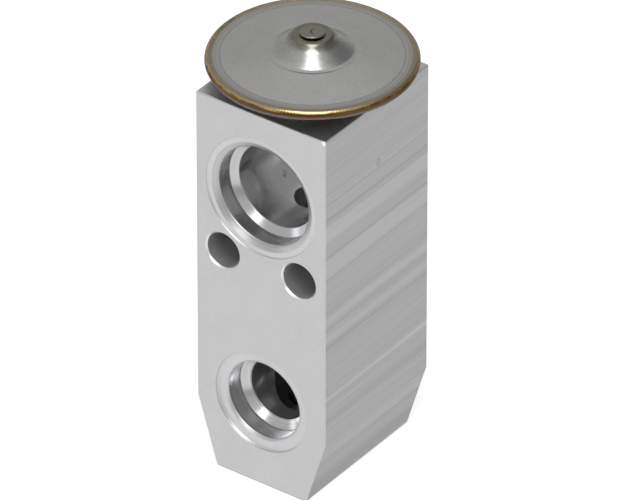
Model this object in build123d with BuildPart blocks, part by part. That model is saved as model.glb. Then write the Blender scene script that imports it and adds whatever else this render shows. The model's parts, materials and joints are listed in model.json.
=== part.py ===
from build123d import *

import os
from math import cos, pi, radians, sin, sqrt, tan

# Block expansion valve of a car's air-conditioning circuit, in millimetres.
# The origin is the middle of the block's bottom face and +Z runs up the valve's axis.
# The front is -Y: the suction port above, the liquid inlet below. The evaporator side is +Y.

# Block, a length of bar whose section is the front view
block_width = 28.0
block_depth = 31.0
block_height = 78.0
taper_inset = 4.2
taper_height = 13.8
edge_break = 0.3

# Suction passage, straight through from back to front
suction_below_top = 17.1
suction_bore_radius = 8.25
suction_gland_radius = 9.7
suction_gland_depth = 4.1
suction_lead_in = 1.25
suction_spot_radius = 11.9
suction_spot_depth = 0.3

# Liquid ports, the inlet in front and the outlet behind and above it
inlet_level = 17.5
inlet_bore_radius = 6.1
outlet_level = 31.0
outlet_bore_radius = 4.25
outlet_past_axis = 3.5
liquid_gland_radius = 7.75
liquid_gland_depth = 4.45
liquid_lead_in = 0.55
liquid_spot_radius = 10.0
liquid_spot_depth = 0.6
seat_cone_slope = 30.0

# Two clamp-bolt holes between the passages
bolt_spacing = 16.54
bolts_below_suction = 14.3
bolt_hole_radius = 3.5
bolt_hole_chamfer = 0.3

# Valve chamber and metering orifice on the vertical axis
chamber_radius = 6.75
orifice_radius = 1.6
orifice_length = 2.15
ball_radius = 1.9
seat_gap = 0.03

# Adjusting screw in the bottom of the chamber
screw_thread_radius = 7.45
screw_thread_length = 5.2
screw_recess = 1.0
screw_nose_length = 4.4
screw_runout = 1.0
screw_socket_flats = 7.0
screw_socket_depth = 3.2
spring_cup_depth = 5.2
screw_ring_section = 0.7
screw_ring_below_nose = 0.6

# Spring, its carrier under the ball and the damping spring round the carrier
spring_wire_radius = 0.5
spring_coil_radius = 3.5
spring_active_turns = 4
carrier_flange_thickness = 1.2
carrier_hub_radius = 2.7
carrier_hub_height = 1.7
carrier_spigot_length = 3.0
carrier_lip = 0.38
damping_strip = 0.25
damping_leg_width = 2.4
damping_leg_drop = 3.4
damping_leg_bend = 0.9
damping_leg_count = 4

# Operating rod with its seal in the floor of the suction passage
rod_radius = 1.1
rod_seal_section = 1.0
rod_pocket_radius = 3.25
rod_pocket_depth = 5.6
retainer_thickness = 0.35
retainer_rise = 0.5
retainer_finger_count = 6
retainer_slot_width = 0.5
retainer_slot_length = 1.11

# Head: two pressed covers welded at their rim, with the diaphragm between them
head_thread_radius = 9.6
head_thread_depth = 7.5
head_well_radius = 6.5
head_seal_section = 0.85
neck_length = 7.0
neck_wall = 2.0
neck_flange_radius = 12.0
neck_flange_thickness = 0.9
cover_sheet = 0.75
diaphragm_sheet = 0.15
pan_margin = 1.2
pan_wall_slope = 1.1
sheet_bend = 0.9
rim_radius = 18.95
weld_width = 0.6
weld_lap = 0.85
weld_height = 0.15
weld_crown_inset = 0.4
lid_flange_width = 2.05
lid_rise = 1.3
dome_base_radius = 7.85
dome_foot_radius = 7.35
dome_foot_height = 0.1
dome_waist_radius = 4.35
dome_waist_height = 1.95
dome_height = 3.15
dome_waist_bend = 2.4
dome_collar_radius = 3.6
plug_head_radius = 2.46
plug_head_height = 0.6
plug_edge_height = 0.3
plug_shank_radius = 1.6
plug_shank_length = 1.6
wave_count = 2
wave_height = 0.25
wave_width = 1.2
wave_bend = 0.3
stopper_radius = 11.0
stopper_thickness = 1.25
stopper_boss_radius = 4.6
stopper_boss_length = 6.6
stopper_socket_depth = 4.5

# Movement and clearances
valve_stroke = 0.8
stroke_reserve = 0.1
thread_clearance = 0.05
sliding_clearance = 0.05
loose_clearance = 0.3
seal_clearance = 0.05
cut_past = 1.0

# Levels that follow from the sizes above
half_depth = block_depth / 2
suction_level = block_height - suction_below_top
bolt_level = suction_level - bolts_below_suction
suction_floor = suction_level - suction_bore_radius
outlet_floor = outlet_level - outlet_bore_radius
chamber_roof = outlet_floor - orifice_length
rod_pocket_floor = suction_floor - rod_pocket_depth
ball_level = chamber_roof - sqrt(ball_radius**2 - orifice_radius**2) - seat_gap
ball_top = ball_level + ball_radius
cone_depth = tan(radians(seat_cone_slope))

# Screw levels, from the bottom face up
screw_bottom = screw_recess
screw_shoulder = screw_bottom + screw_thread_length
screw_top = screw_shoulder + screw_nose_length
screw_nose_radius = chamber_radius - 2 * sliding_clearance
screw_hole_radius = screw_thread_radius + thread_clearance
screw_hole_depth = screw_shoulder + screw_runout
spring_seat = screw_top - spring_cup_depth
spring_outer_radius = spring_coil_radius + spring_wire_radius
spring_cup_radius = spring_outer_radius + loose_clearance
screw_groove_radius = chamber_radius - 2 * (screw_ring_section + seal_clearance)
screw_ring_level = screw_top - screw_ring_below_nose - screw_ring_section

# Carrier levels, from the ball down: its cup is a right-angled cone that touches the ball
carrier_top = ball_level - ball_radius / sqrt(2) + carrier_lip
flange_top = carrier_top - carrier_hub_height
flange_bottom = flange_top - carrier_flange_thickness
flange_radius = spring_outer_radius + loose_clearance
cup_apex = ball_level - sqrt(2) * ball_radius

# Head levels, from the top of the block up
neck_radius = head_thread_radius - thread_clearance
neck_bore_radius = neck_radius - neck_wall
seal_pocket_radius = neck_radius + 2 * head_seal_section + seal_clearance
seal_pocket_floor = block_height - 2 * head_seal_section
flange_seat = block_height + thread_clearance
cover_seat = flange_seat + neck_flange_thickness
lower_floor = cover_seat + cover_sheet
stopper_bottom = lower_floor + stroke_reserve + valve_stroke
stopper_top = stopper_bottom + stopper_thickness
boss_bottom = stopper_bottom - stopper_boss_length
rod_top = boss_bottom + stopper_socket_depth
diaphragm_bottom = stopper_top + seal_clearance
diaphragm_top = diaphragm_bottom + diaphragm_sheet
rim_bottom = diaphragm_bottom - cover_sheet
rim_top = diaphragm_top + cover_sheet
cover_radius = rim_radius - weld_width
lid_flange_radius = cover_radius - lid_flange_width
dome_base = rim_top + lid_rise
dome_top = dome_base + dome_height


def half_section(*corners):
    """Returns the half section with these corners, (radius, level) pairs, to turn about the valve's axis."""
    with BuildSketch(Plane.XZ) as section:
        with BuildLine():
            Polyline(*corners, close=True)
        make_face()
    return section.sketch


def pressed_section(sheet, bends, *corners):
    """Returns the half section of a pressed sheet; its upper side has these corners, rounded by the bends."""
    with BuildSketch(Plane.XZ) as section:
        with BuildLine():
            upper_side = FilletPolyline(*corners, radius=bends)
            offset(upper_side, amount=sheet, side=Side.RIGHT)
        make_face()
    return section.sketch


def cut_port(facing, level, spot, lead_in, gland, bore):
    """Cuts a pipe port into the block's front (facing -1) or back (facing 1).

    The spot face, the gland and the bore are (radius, depth) pairs measured from that face.
    """
    mouth = Plane(origin=(0, facing * half_depth, level), x_dir=(0, -facing, 0), z_dir=(-facing, 0, 0))
    spot_radius, spot_depth = spot
    gland_radius, gland_depth = gland
    bore_radius, bore_depth = bore
    with BuildSketch(mouth) as section:
        with BuildLine():
            Polyline(
                (-cut_past, 0),
                (-cut_past, spot_radius),
                (spot_depth, spot_radius),
                (spot_depth, gland_radius + lead_in),
                (spot_depth + lead_in * cone_depth, gland_radius),
                (gland_depth, gland_radius),
                (gland_depth + (gland_radius - bore_radius) * cone_depth, bore_radius),
                (bore_depth, bore_radius),
                (bore_depth, 0),
                close=True,
            )
        make_face()
    revolve(section.sketch, axis=Axis((0, 0, level), (0, 1, 0)), mode=Mode.SUBTRACT)


def export(part, name):
    """Labels a finished piece and writes it to the parts folder."""
    part.label = name
    export_step(part, f"parts/{name}.step")


os.makedirs("parts", exist_ok=True)

# Valve body: bar, four ports, two bolt holes and the stack of bores on the valve's axis
with BuildPart() as valve_body:
    with BuildSketch(Plane.XZ):
        with BuildLine():
            Polyline(
                (-block_width / 2 + taper_inset, 0),
                (block_width / 2 - taper_inset, 0),
                (block_width / 2, taper_height),
                (block_width / 2, block_height),
                (-block_width / 2, block_height),
                (-block_width / 2, taper_height),
                close=True,
            )
        make_face()
    extrude(amount=half_depth, both=True)
    folds = valve_body.edges().filter_by(Axis.Y).group_by(Axis.Z)[1]
    chamfer(valve_body.edges() - folds, edge_break)

    suction_spot = (suction_spot_radius, suction_spot_depth)
    suction_gland = (suction_gland_radius, suction_gland_depth)
    liquid_spot = (liquid_spot_radius, liquid_spot_depth)
    liquid_gland = (liquid_gland_radius, liquid_gland_depth)
    for facing in (-1, 1):
        cut_port(
            facing, suction_level, suction_spot, suction_lead_in, suction_gland,
            (suction_bore_radius, half_depth),
        )
    cut_port(
        -1, inlet_level, liquid_spot, liquid_lead_in, liquid_gland,
        (inlet_bore_radius, half_depth),
    )
    cut_port(
        1, outlet_level, liquid_spot, liquid_lead_in, liquid_gland,
        (outlet_bore_radius, half_depth + outlet_past_axis),
    )

    for facing in (-1, 1):
        face = Plane(origin=(0, facing * half_depth, bolt_level), x_dir=(1, 0, 0), z_dir=(0, facing, 0))
        with Locations(face):
            with GridLocations(bolt_spacing, 0, 2, 1):
                CounterSinkHole(
                    bolt_hole_radius, bolt_hole_radius + bolt_hole_chamfer, half_depth, counter_sink_angle=90
                )

    profile = half_section(
        (0, -cut_past),
        (screw_hole_radius, -cut_past),
        (screw_hole_radius, screw_hole_depth),
        (chamber_radius, screw_hole_depth + screw_hole_radius - chamber_radius),
        (chamber_radius, chamber_roof),
        (orifice_radius, chamber_roof),
        (orifice_radius, outlet_level),
        (0, outlet_level),
    )
    revolve(profile, axis=Axis.Z, mode=Mode.SUBTRACT)
    profile = half_section(
        (0, block_height + cut_past),
        (seal_pocket_radius, block_height + cut_past),
        (seal_pocket_radius, seal_pocket_floor),
        (head_thread_radius, seal_pocket_floor),
        (head_thread_radius, block_height - head_thread_depth),
        (head_well_radius, block_height - head_thread_depth),
        (head_well_radius, suction_level),
        (rod_pocket_radius, suction_level),
        (rod_pocket_radius, rod_pocket_floor),
        (rod_radius + sliding_clearance, rod_pocket_floor),
        (rod_radius + sliding_clearance, outlet_level),
        (0, outlet_level),
    )
    revolve(profile, axis=Axis.Z, mode=Mode.SUBTRACT)
export(valve_body.part, "valve_body")

# Adjusting screw: thread, nose with the ring groove, spring cup above and socket below
with BuildPart() as adjusting_screw:
    profile = half_section(
        (0, screw_bottom),
        (screw_thread_radius - edge_break, screw_bottom),
        (screw_thread_radius, screw_bottom + edge_break),
        (screw_thread_radius, screw_shoulder - edge_break),
        (screw_thread_radius - edge_break, screw_shoulder),
        (screw_nose_radius, screw_shoulder),
        (screw_nose_radius, screw_ring_level - screw_ring_section - sliding_clearance),
        (screw_groove_radius, screw_ring_level - screw_ring_section - sliding_clearance),
        (screw_groove_radius, screw_ring_level + screw_ring_section + sliding_clearance),
        (screw_nose_radius, screw_ring_level + screw_ring_section + sliding_clearance),
        (screw_nose_radius, screw_top),
        (spring_cup_radius, screw_top),
        (spring_cup_radius, spring_seat),
        (0, spring_seat),
    )
    revolve(profile, axis=Axis.Z)
    with BuildSketch(Plane.XY.offset(screw_bottom)):
        RegularPolygon(radius=screw_socket_flats / 2, side_count=6, major_radius=False)
    extrude(amount=screw_socket_depth, mode=Mode.SUBTRACT)
export(adjusting_screw.part, "adjusting_screw")

# Rubber rings: on the screw's nose, round the rod and under the head's flange
with BuildPart() as screw_seal_ring:
    with BuildSketch(Plane.XZ):
        with Locations(((chamber_radius + screw_groove_radius) / 2, screw_ring_level)):
            Circle(screw_ring_section)
    revolve(axis=Axis.Z)
export(screw_seal_ring.part, "screw_seal_ring")

with BuildPart() as rod_seal_ring:
    with BuildSketch(Plane.XZ):
        ring_radius = rod_pocket_radius - seal_clearance - rod_seal_section
        with Locations((ring_radius, rod_pocket_floor + rod_seal_section)):
            Circle(rod_seal_section)
    revolve(axis=Axis.Z)
export(rod_seal_ring.part, "rod_seal_ring")

with BuildPart() as head_seal_ring:
    with BuildSketch(Plane.XZ):
        ring_level = seal_pocket_floor + head_seal_section
        with Locations((seal_pocket_radius - seal_clearance / 2 - head_seal_section, ring_level)):
            Circle(head_seal_section - seal_clearance / 2)
    revolve(axis=Axis.Z)
export(head_seal_ring.part, "head_seal_ring")

# Push-on retainer over the rod's ring: a dished washer whose slots leave fingers round the rod
retainer_level = rod_pocket_floor + 2 * rod_seal_section + sliding_clearance
retainer_hole_radius = rod_radius + loose_clearance
retainer_rim_radius = rod_pocket_radius - retainer_thickness
with BuildPart() as seal_retainer:
    profile = half_section(
        (rod_pocket_radius, retainer_level),
        (rod_pocket_radius, retainer_level + retainer_thickness),
        (retainer_rim_radius, retainer_level + retainer_thickness),
        (retainer_hole_radius, retainer_level + retainer_thickness + retainer_rise),
        (retainer_hole_radius, retainer_level + retainer_rise),
        (retainer_rim_radius, retainer_level),
    )
    revolve(profile, axis=Axis.Z)
    with BuildSketch(Plane.XY.offset(retainer_level)):
        with PolarLocations(retainer_hole_radius + retainer_slot_length / 2, retainer_finger_count):
            SlotOverall(retainer_slot_length + retainer_slot_width, retainer_slot_width)
    extrude(amount=retainer_rise + 2 * retainer_thickness, mode=Mode.SUBTRACT)
export(seal_retainer.part, "seal_retainer")

# Operating rod, from the stopper's socket down to the ball
with BuildPart() as operating_rod:
    with BuildSketch(Plane.XY.offset(ball_top)):
        Circle(rod_radius)
    extrude(amount=rod_top - ball_top)
    chamfer(operating_rod.edges().filter_by(GeomType.CIRCLE), edge_break)
export(operating_rod.part, "operating_rod")

with BuildPart() as valve_ball:
    with Locations((0, 0, ball_level)):
        Sphere(ball_radius)
export(valve_ball.part, "valve_ball")

# Ball carrier: a flange on the spring, a spigot inside it and a cup for the ball
with BuildPart() as ball_carrier:
    profile = half_section(
        (0, flange_bottom - carrier_spigot_length),
        (carrier_hub_radius - edge_break, flange_bottom - carrier_spigot_length),
        (carrier_hub_radius, flange_bottom - carrier_spigot_length + edge_break),
        (carrier_hub_radius, flange_bottom),
        (flange_radius, flange_bottom),
        (flange_radius, flange_top),
        (carrier_hub_radius, flange_top),
        (carrier_hub_radius, carrier_top),
        (carrier_top - cup_apex, carrier_top),
        (0, cup_apex),
    )
    revolve(profile, axis=Axis.Z)
export(ball_carrier.part, "ball_carrier")

# Damping spring: a flat ring on the carrier's flange with legs that bend down along the chamber's wall
leg_reach = sqrt((chamber_radius - sliding_clearance) ** 2 - (damping_leg_width / 2) ** 2)
with BuildPart() as damping_spring:
    with BuildSketch(Plane.XY.offset(flange_top)):
        Circle(flange_radius)
        Circle(carrier_hub_radius + sliding_clearance, mode=Mode.SUBTRACT)
    extrude(amount=damping_strip)
    for leg in range(damping_leg_count):
        turn = 2 * pi * (leg + 0.5) / damping_leg_count
        outward = (cos(turn), sin(turn), 0)
        side = Plane(origin=(0, 0, flange_top), x_dir=outward, z_dir=(sin(turn), -cos(turn), 0))
        with BuildSketch(side):
            with BuildLine():
                strip = FilletPolyline(
                    (flange_radius - damping_strip, damping_strip),
                    (leg_reach, damping_strip),
                    (leg_reach, -damping_leg_drop),
                    radius=damping_leg_bend,
                )
                offset(strip, amount=damping_strip, side=Side.RIGHT)
            make_face()
        extrude(amount=damping_leg_width / 2, both=True)
export(damping_spring.part, "damping_spring")

# Valve spring: a closed turn at each end and open turns between them
closed_pitch = 2 * spring_wire_radius + sliding_clearance
spring_start = spring_seat + spring_wire_radius + sliding_clearance
spring_height = flange_bottom - spring_wire_radius - sliding_clearance - spring_start
open_height = spring_height - 2 * closed_pitch
with BuildPart() as valve_spring:
    with BuildLine() as coil:
        Helix(closed_pitch, closed_pitch, spring_coil_radius, center=(0, 0, spring_start))
        Helix(
            open_height / spring_active_turns, open_height, spring_coil_radius,
            center=(0, 0, spring_start + closed_pitch),
        )
        Helix(
            closed_pitch, closed_pitch, spring_coil_radius,
            center=(0, 0, spring_start + closed_pitch + open_height),
        )
    with BuildSketch(Plane(origin=coil.line @ 0, z_dir=coil.line % 0)):
        Circle(spring_wire_radius)
    sweep(path=coil.wires()[0], is_frenet=True)
export(valve_spring.part, "valve_spring")

# Neck of the head: threaded into the block, with a flange on its top face and a spigot for the cover
spigot_radius = neck_radius - neck_wall / 2
with BuildPart() as head_neck:
    profile = half_section(
        (neck_bore_radius, block_height - neck_length),
        (neck_radius - edge_break, block_height - neck_length),
        (neck_radius, block_height - neck_length + edge_break),
        (neck_radius, flange_seat),
        (neck_flange_radius, flange_seat),
        (neck_flange_radius, cover_seat),
        (spigot_radius, cover_seat),
        (spigot_radius, cover_seat + cover_sheet - edge_break),
        (neck_bore_radius, cover_seat + cover_sheet - edge_break),
    )
    revolve(profile, axis=Axis.Z)
export(head_neck.part, "head_neck")

# Lower cover: a shallow pan round the neck's spigot, with the flange that the weld joins
pan_radius = stopper_radius + pan_margin
with BuildPart() as lower_cover:
    pan = pressed_section(
        cover_sheet, sheet_bend,
        (spigot_radius + sliding_clearance, lower_floor),
        (pan_radius, lower_floor),
        (pan_radius + pan_wall_slope * (diaphragm_bottom - lower_floor), diaphragm_bottom),
        (cover_radius, diaphragm_bottom),
    )
    revolve(pan, axis=Axis.Z)
export(lower_cover.part, "lower_cover")

# Stopper under the diaphragm: a disc with a boss that takes the rod's end
with BuildPart() as diaphragm_stopper:
    profile = half_section(
        (0, rod_top),
        (rod_radius + sliding_clearance, rod_top),
        (rod_radius + sliding_clearance, boss_bottom),
        (stopper_boss_radius - edge_break, boss_bottom),
        (stopper_boss_radius, boss_bottom + edge_break),
        (stopper_boss_radius, stopper_bottom),
        (stopper_radius, stopper_bottom),
        (stopper_radius, stopper_top - edge_break),
        (stopper_radius - edge_break, stopper_top),
        (0, stopper_top),
    )
    revolve(profile, axis=Axis.Z)
export(diaphragm_stopper.part, "diaphragm_stopper")

# Diaphragm: a thin disc with ring waves between the stopper and the rim
wave_start = stopper_radius - edge_break
waves = [
    (wave_start + (step / 2) * wave_width, diaphragm_top + (step % 2) * wave_height)
    for step in range(2 * wave_count + 1)
]
with BuildPart() as diaphragm:
    disc = pressed_section(
        diaphragm_sheet, wave_bend,
        (0, diaphragm_top), *waves, (cover_radius, diaphragm_top),
    )
    revolve(disc, axis=Axis.Z)
export(diaphragm.part, "diaphragm")

# Upper cover: flange, gently rising lid and the flared dome with its collar
with BuildPart() as upper_cover:
    lid = pressed_section(
        cover_sheet, [sheet_bend, dome_waist_bend, sheet_bend, sheet_bend, sheet_bend],
        (plug_shank_radius + sliding_clearance, dome_top),
        (dome_collar_radius, dome_top),
        (dome_waist_radius, dome_base + dome_waist_height),
        (dome_foot_radius, dome_base + dome_foot_height),
        (dome_base_radius, dome_base),
        (lid_flange_radius, rim_top),
        (cover_radius, rim_top),
    )
    revolve(lid, axis=Axis.Z)
export(upper_cover.part, "upper_cover")

# Weld bead round both covers' edges
with BuildPart() as rim_weld:
    with BuildSketch(Plane.XZ):
        lap_radius = cover_radius - weld_lap
        crown_radius = cover_radius - weld_crown_inset
        with BuildLine():
            Polyline(
                (lap_radius, rim_bottom), (cover_radius, rim_bottom),
                (cover_radius, rim_top), (lap_radius, rim_top),
            )
            Spline(
                (lap_radius, rim_top),
                (crown_radius, rim_top + weld_height),
                (rim_radius, (rim_top + rim_bottom) / 2),
                (crown_radius, rim_bottom - weld_height),
                (lap_radius, rim_bottom),
            )
        make_face()
    revolve(axis=Axis.Z)
export(rim_weld.part, "rim_weld")

# Charge plug in the collar: its head is undercut, so that a dark gap shows round it
with BuildPart() as charge_plug:
    profile = half_section(
        (0, dome_top - plug_shank_length),
        (plug_shank_radius, dome_top - plug_shank_length),
        (plug_shank_radius, dome_top),
        (plug_head_radius, dome_top + plug_edge_height),
        (plug_head_radius - plug_edge_height / 2, dome_top + plug_head_height),
        (0, dome_top + plug_head_height),
    )
    revolve(profile, axis=Axis.Z)
export(charge_plug.part, "charge_plug")
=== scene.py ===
"""Dresses the block expansion valve: the bored block, the welded head and the valve train inside."""

import json
import logging
from dataclasses import dataclass
from enum import Enum
from math import cos, pi, radians, sin, sqrt, tan
from typing import Callable, Iterable, Sequence

import bmesh
import bpy
from mathutils import Matrix, Vector


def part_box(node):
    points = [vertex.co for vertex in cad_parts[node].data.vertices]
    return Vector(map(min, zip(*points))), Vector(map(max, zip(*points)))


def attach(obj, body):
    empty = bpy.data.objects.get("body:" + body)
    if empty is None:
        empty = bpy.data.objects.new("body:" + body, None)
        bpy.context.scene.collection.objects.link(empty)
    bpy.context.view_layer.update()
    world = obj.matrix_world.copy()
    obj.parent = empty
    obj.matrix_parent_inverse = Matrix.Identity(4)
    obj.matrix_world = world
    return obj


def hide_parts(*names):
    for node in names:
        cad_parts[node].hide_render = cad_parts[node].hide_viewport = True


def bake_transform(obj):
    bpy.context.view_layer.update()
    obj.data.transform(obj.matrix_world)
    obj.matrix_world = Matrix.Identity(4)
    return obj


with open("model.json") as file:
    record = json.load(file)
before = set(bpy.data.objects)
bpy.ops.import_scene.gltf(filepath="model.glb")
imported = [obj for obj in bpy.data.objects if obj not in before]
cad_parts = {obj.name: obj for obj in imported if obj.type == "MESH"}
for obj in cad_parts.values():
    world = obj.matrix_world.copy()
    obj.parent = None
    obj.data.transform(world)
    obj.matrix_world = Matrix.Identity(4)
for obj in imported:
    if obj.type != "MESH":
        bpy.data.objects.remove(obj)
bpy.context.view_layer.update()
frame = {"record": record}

LOG = logging.getLogger("expansion_valve")
MM = 0.001
SEGMENTS = 192
SMALL_SEGMENTS = 96
SMOOTH_ANGLE = radians(32)
POLE_RADIUS = 1e-6
CUT_PAST = 1.0
THREAD_PITCH = 1.0
THREAD_DEPTH = 0.55
THREAD_RING_GAP = 0.1
THREAD_FLANK = (0.12, 0.88)
THREAD_RUN_OUT = 0.8
PORT_SLOPE = tan(radians(30))
MOST_OF_SIDE = 0.48
FINE_BEND = 0.05
SMALL_BEND = 0.1
SOFT_BEND = 0.3

Point = tuple[float, float]
Triple = tuple[float, float, float]
Colour = Triple
Piece = bpy.types.Object
Material = bpy.types.Material


class Body(Enum):
    """The bodies that pieces ride on."""

    BLOCK = "valve_block"
    STEM = "valve_stem"
    RING = "screw_ring"
    ADJUSTER = "adjuster"


class Run(Enum):
    """The line that a bore is turned about, as the stretch that its marks get across it."""

    ALONG_Y = (0.04, 6.0, 0.04)
    ALONG_Z = (0.04, 0.04, 6.0)


def operation(name: str, swapped: bool = False) -> Callable[..., "Value"]:
    """Makes the method behind one of Python's operators.

    Args:
        name: the Math node's operation.
        swapped: whether the socket comes after the other value.

    Returns:
        The method.
    """

    def method(value: "Value", *others: "Operand") -> "Value":
        """Adds the operation's node."""
        return value.tree.math(name, *((*others, value) if swapped else (value, *others)))

    return method


class Value:
    """A socket of a node tree that takes Python's operators."""

    def __init__(self, tree: "Tree", socket: bpy.types.NodeSocket) -> None:
        """Keeps the socket and the tree that it belongs to."""
        self.tree = tree
        self.socket = socket

    __add__ = __radd__ = operation("ADD")
    __sub__ = operation("SUBTRACT")
    __rsub__ = operation("SUBTRACT", swapped=True)
    __mul__ = __rmul__ = operation("MULTIPLY")
    __truediv__ = operation("DIVIDE")
    __pow__ = operation("POWER")
    __abs__ = operation("ABSOLUTE")

    def swing(self, size: float) -> "Value":
        """A value from 0 to 1 as a change either side of 0, `size` from end to end."""
        return (self - 0.5) * size

    def output(self, key: str) -> "Value":
        """Another output of the same node."""
        return Value(self.tree, self.socket.node.outputs[key])


Operand = Value | float


class Tree:
    """Writes a node tree as expressions."""

    def __init__(self, node_tree: bpy.types.NodeTree) -> None:
        """Starts from an empty node tree."""
        self.nodes = node_tree.nodes
        self.links = node_tree.links
        self.nodes.clear()

    def node(
        self, kind: str, settings: dict | None = None, inputs: dict | None = None, output: int | str = 0
    ) -> Value:
        """Adds a node.

        Args:
            kind: the node's type.
            settings: properties to set first; "stops" fills a colour ramp.
            inputs: values or links by socket name or number.
            output: the socket to return.

        Returns:
            That output.
        """
        made = self.nodes.new(kind)
        for name, value in (settings or {}).items():
            if name == "stops":
                self._fill_ramp(made.color_ramp, value)
            else:
                setattr(made, name, value)
        for key, value in (inputs or {}).items():
            if isinstance(value, Value):
                self.links.new(value.socket, made.inputs[key])
            else:
                made.inputs[key].default_value = value
        return Value(self, made.outputs[output])

    def end(self, kind: str, key: str, value: Value) -> None:
        """Adds the node that the tree ends in and joins a value to its input."""
        self.links.new(value.socket, self.nodes.new(kind).inputs[key])

    def math(self, operation: str, *values: Operand) -> Value:
        """Adds a Math node for one operation on the values."""
        return self.node("ShaderNodeMath", {"operation": operation}, dict(enumerate(values)))

    def vector(self, operation: str, *values: Value | Sequence[float], output: int | str = 0) -> Value:
        """Adds a Vector Math node for one operation on the vectors."""
        return self.node("ShaderNodeVectorMath", {"operation": operation}, dict(enumerate(values)), output)

    def scaled(self, vector: Value | Sequence[float], factor: Operand) -> Value:
        """A vector made longer, or a colour made lighter."""
        return self.node("ShaderNodeVectorMath", {"operation": "SCALE"}, {0: vector, "Scale": factor})

    def parts(self, vector: Value) -> tuple[Value, ...]:
        """The three numbers of a vector."""
        split = self.node("ShaderNodeSeparateXYZ", {}, {0: vector})
        return tuple(split.output(axis) for axis in "XYZ")

    def rise(self, value: Value, start: float, end: float) -> Value:
        """Returns a smooth step from 0 at start to 1 at end."""
        settings = {"interpolation_type": "SMOOTHSTEP"}
        return self.node("ShaderNodeMapRange", settings, {"Value": value, "From Min": start, "From Max": end})

    def noise(self, at: Value, scale: float, detail: float = 3.0) -> Value:
        """Returns soft noise from 0 to 1 with about `scale` marks for each unit of the place."""
        return self.node("ShaderNodeTexNoise", {}, {"Vector": at, "Scale": scale, "Detail": detail})

    @staticmethod
    def radius(x: Value, y: Value) -> Value:
        """Distance from the valve's axis."""
        return (x * x + y * y) ** 0.5

    @staticmethod
    def _fill_ramp(ramp: bpy.types.ColorRamp, stops: Sequence[tuple[float, Colour]]) -> None:
        """Gives a colour ramp these stops."""
        while len(ramp.elements) < len(stops):
            ramp.elements.new(1.0)
        for element, (position, colour) in zip(ramp.elements, stops):
            element.position = position
            element.color = (*colour, 1.0)


class Shader(Tree):
    """One material, painted from the place on the object in millimetres."""

    FOOT_LINE = (0.42, 0.12)
    FOOT_SHADE = 0.45

    def __init__(self, name: str) -> None:
        """Starts a material and reads its place."""
        self.material = bpy.data.materials.new(name)
        self.material.use_nodes = True
        super().__init__(self.material.node_tree)
        self.place = self.scaled(self.node("ShaderNodeTexCoord", output="Object"), 1 / MM)
        self.x, self.y, self.z = self.parts(self.place)

    def away(self, place: Sequence[float]) -> Value:
        """Distance from a place."""
        return self.vector("DISTANCE", self.place, place, output="Value")

    def marks(self, scale: float, stretch: Triple, detail: float = 3.0) -> Value:
        """Noise that is stretched along the lines of the tool that made the surface."""
        return self.noise(self.vector("MULTIPLY", self.place, stretch), scale, detail)

    def lines(self, place: Value, lines: Sequence[Triple], core: float) -> Value:
        """How much lighter some lines are.

        Args:
            place: where the surface lies across the lines.
            lines: a place, a half width and a strength for each.
            core: the share of the half width that has the whole strength.

        Returns:
            The sum of the lines.
        """
        return sum(self.rise(abs(place - at), half, core * half) * strength for at, half, strength in lines)

    def foot_shade(self) -> Value:
        """How much darker the block gets where its lowest edge turns under."""
        return self.rise(self.z, *self.FOOT_LINE) * self.FOOT_SHADE

    def mix(self, factor: Value, below: Value | Colour, above: Value | Colour) -> Value:
        """A colour between two others."""
        ends = [end if isinstance(end, Value) else (*end, 1.0) for end in (below, above)]
        inputs = {"Factor": factor, 6: ends[0], 7: ends[1]}
        return self.node("ShaderNodeMix", {"data_type": "RGBA"}, inputs, 2)

    def bump(self, height: Value, depth: float) -> Value:
        """The surface normal over a height from 0 to 1 that stands for `depth` millimetres."""
        return self.node("ShaderNodeBump", {}, {"Distance": depth * MM, "Height": height}, "Normal")

    def surface(self, colour: Value, roughness: Value, normal: Value, metallic: float = 1.0) -> Material:
        """Ends the material in a Principled shader and returns it."""
        inputs = {"Base Color": colour, "Roughness": roughness, "Normal": normal, "Metallic": metallic}
        return self.finished(self.node("ShaderNodeBsdfPrincipled", {}, inputs))

    def finished(self, shader: Value) -> Material:
        """Joins a shader to the material's output and returns the material."""
        self.end("ShaderNodeOutputMaterial", "Surface", shader)
        return self.material


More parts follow.
